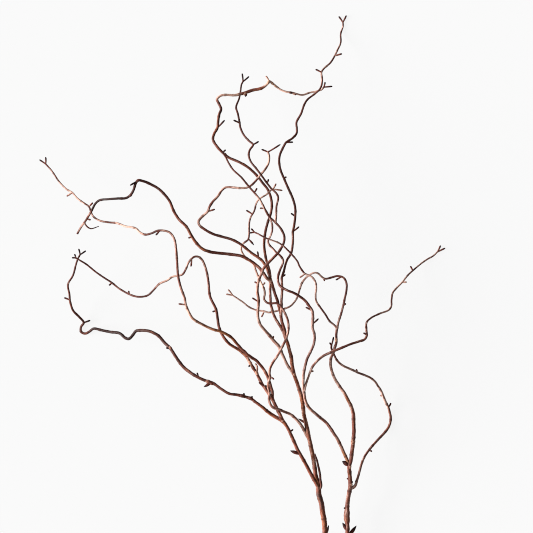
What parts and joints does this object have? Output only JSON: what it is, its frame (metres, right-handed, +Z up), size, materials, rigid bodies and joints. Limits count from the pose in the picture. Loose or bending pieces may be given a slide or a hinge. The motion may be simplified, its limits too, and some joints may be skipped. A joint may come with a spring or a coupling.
{
  "type": "willow stems",
  "caption": "Two branching curly willow stems, cut for a vase and laid down together as a loose, tangled bunch.",
  "frame": {"origin": "on the surface that the bunch lies on, under the middle of the bunch", "axes": "+Y along the bunch from the cut ends to the tips, +X across it to the right, +Z up from the surface"},
  "size_m": [0.61, 0.9464, 0.1155],
  "materials": {
    "left_bark": "reddish-brown bark, dull with a slight waxy sheen, paler on the side to the light",
    "right_bark": "brown bark, dull with a slight waxy sheen, greyer towards the cut end"
  },
  "bodies": {
    "root": {"left_stem": "left_bark", "right_stem": "right_bark"}
  },
  "joints": []
}
